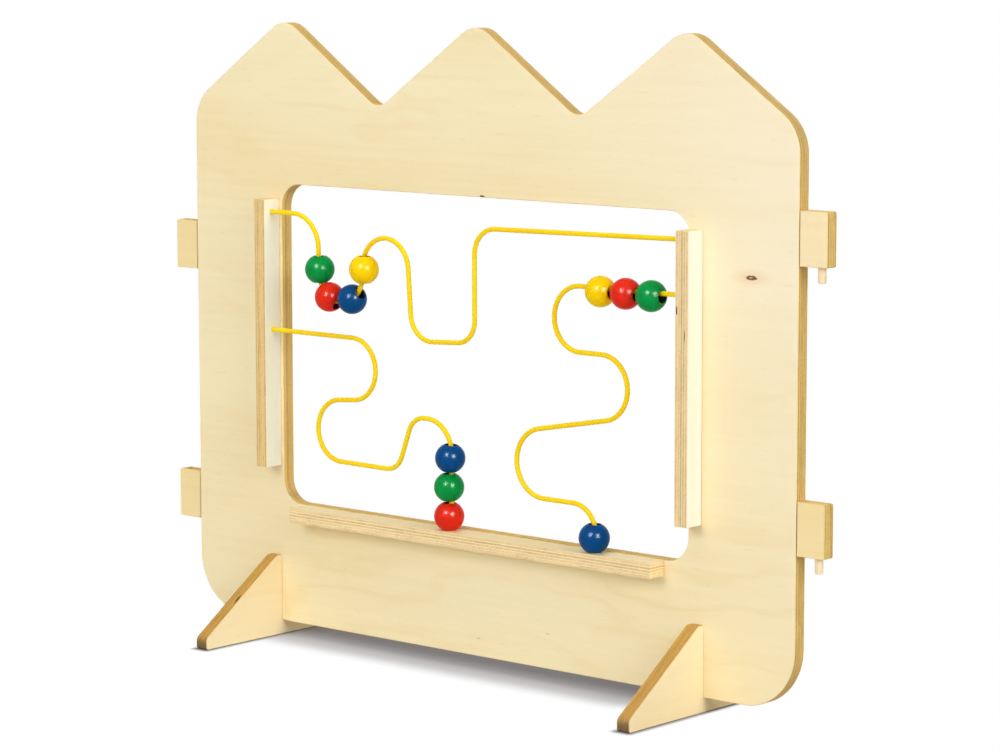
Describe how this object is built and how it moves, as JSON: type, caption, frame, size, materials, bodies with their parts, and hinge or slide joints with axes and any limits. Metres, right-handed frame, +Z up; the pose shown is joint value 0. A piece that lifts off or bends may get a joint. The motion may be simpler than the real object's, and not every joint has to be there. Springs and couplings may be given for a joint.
{
  "type": "bead maze panel",
  "caption": "Free-standing plywood play panel with a gabled top edge, a window strung with bent bead wires, cross feet and side link blocks with pins.",
  "frame": {"origin": "on the floor, below the middle of the panel", "axes": "+X along the panel towards the pinned link blocks, +Z up, the wires on the -Y side"},
  "size_m": [0.864, 0.242, 0.6516],
  "materials": {
    "birch_plywood": "clear matt lacquer",
    "beech_dowel": "bare wood",
    "wire_coating": "semi-gloss",
    "zinc_steel": "zinc plated",
    "red_lacquer": "gloss lacquer",
    "blue_lacquer": "gloss lacquer",
    "green_lacquer": "gloss lacquer",
    "yellow_lacquer": "gloss lacquer"
  },
  "bodies": {
    "frame": {"main_panel": "birch_plywood", "left_foot": "birch_plywood", "right_foot": "birch_plywood", "left_rail": "birch_plywood", "right_rail": "birch_plywood", "bottom_rail": "birch_plywood", "left_rail_screw_1": "zinc_steel", "left_rail_screw_2": "zinc_steel", "right_rail_screw_1": "zinc_steel", "right_rail_screw_2": "zinc_steel", "bottom_rail_screw_1": "zinc_steel", "bottom_rail_screw_2": "zinc_steel", "bottom_rail_screw_3": "zinc_steel", "bottom_rail_screw_4": "zinc_steel", "upper_wire": "wire_coating", "left_wire": "wire_coating", "right_wire": "wire_coating", "left_upper_link_block": "birch_plywood", "right_upper_link_block": "birch_plywood", "right_upper_link_pin": "beech_dowel", "left_lower_link_block": "birch_plywood", "right_lower_link_block": "birch_plywood", "right_lower_link_pin": "beech_dowel", "left_upper_block_dowel_1": "beech_dowel", "left_upper_block_dowel_2": "beech_dowel", "right_upper_block_dowel_1": "beech_dowel", "right_upper_block_dowel_2": "beech_dowel", "left_lower_block_dowel_1": "beech_dowel", "left_lower_block_dowel_2": "beech_dowel", "right_lower_block_dowel_1": "beech_dowel", "right_lower_block_dowel_2": "beech_dowel"},
    "upper_red_bead": {"upper_wire_red_bead": "red_lacquer"},
    "upper_blue_bead": {"upper_wire_blue_bead": "blue_lacquer"},
    "upper_green_bead": {"upper_wire_green_bead": "green_lacquer"},
    "upper_yellow_bead": {"upper_wire_yellow_bead": "yellow_lacquer"},
    "left_red_bead": {"left_wire_red_bead": "red_lacquer"},
    "left_green_bead": {"left_wire_green_bead": "green_lacquer"},
    "left_blue_bead": {"left_wire_blue_bead": "blue_lacquer"},
    "right_yellow_bead": {"right_wire_yellow_bead": "yellow_lacquer"},
    "right_red_bead": {"right_wire_red_bead": "red_lacquer"},
    "right_green_bead": {"right_wire_green_bead": "green_lacquer"},
    "right_blue_bead": {"right_wire_blue_bead": "blue_lacquer"}
  },
  "joints": [
    {"name": "upper_red_spin", "type": "hinge", "parent": "frame", "child": "upper_red_bead", "pos_m": [-0.1922, -0.0188, 0.3697], "axis": [0.8613, 0, -0.508], "continuous": true},
    {"name": "upper_blue_spin", "type": "hinge", "parent": "frame", "child": "upper_blue_bead", "pos_m": [-0.16, -0.0188, 0.3697], "axis": [0.8613, 0, 0.508], "continuous": true},
    {"name": "upper_green_travel", "type": "slide", "parent": "frame", "child": "upper_green_bead", "axis": [0, 0, 1], "range_m": [0, 0.014]},
    {"name": "upper_yellow_travel", "type": "hinge", "parent": "frame", "child": "upper_yellow_bead", "pos_m": [-0.1128, -0.0188, 0.4038], "axis": [0, 1, 0], "range_deg": [0, 165]},
    {"name": "left_red_spin", "type": "hinge", "parent": "frame", "child": "left_red_bead", "pos_m": [-0.02615, -0.0188, 0.15775], "axis": [0, 0, 1], "continuous": true},
    {"name": "left_green_spin", "type": "hinge", "parent": "frame", "child": "left_green_bead", "pos_m": [-0.02615, -0.0188, 0.18766], "axis": [0, 0, 1], "continuous": true},
    {"name": "left_blue_travel", "type": "hinge", "parent": "frame", "child": "left_blue_bead", "pos_m": [-0.0557, -0.0188, 0.22197], "axis": [0, -1, 0], "range_deg": [0, 80]},
    {"name": "right_yellow_travel", "type": "slide", "parent": "frame", "child": "right_yellow_bead", "axis": [1, 0, 0], "range_m": [-0.025, 0.022]},
    {"name": "right_red_travel", "type": "slide", "parent": "frame", "child": "right_red_bead", "axis": [1, 0, 0], "range_m": [-0.025, 0.022]},
    {"name": "right_green_travel", "type": "slide", "parent": "frame", "child": "right_green_bead", "axis": [1, 0, 0], "range_m": [-0.025, 0.022]},
    {"name": "right_blue_travel", "type": "hinge", "parent": "frame", "child": "right_blue_bead", "pos_m": [0.1376, -0.0188, 0.1606], "axis": [0, -1, 0], "range_deg": [0, 95]}
  ],
  "couplings": [
    {"joint": "right_red_travel", "follows": "right_yellow_travel", "ratio": 1},
    {"joint": "right_green_travel", "follows": "right_yellow_travel", "ratio": 1}
  ]
}
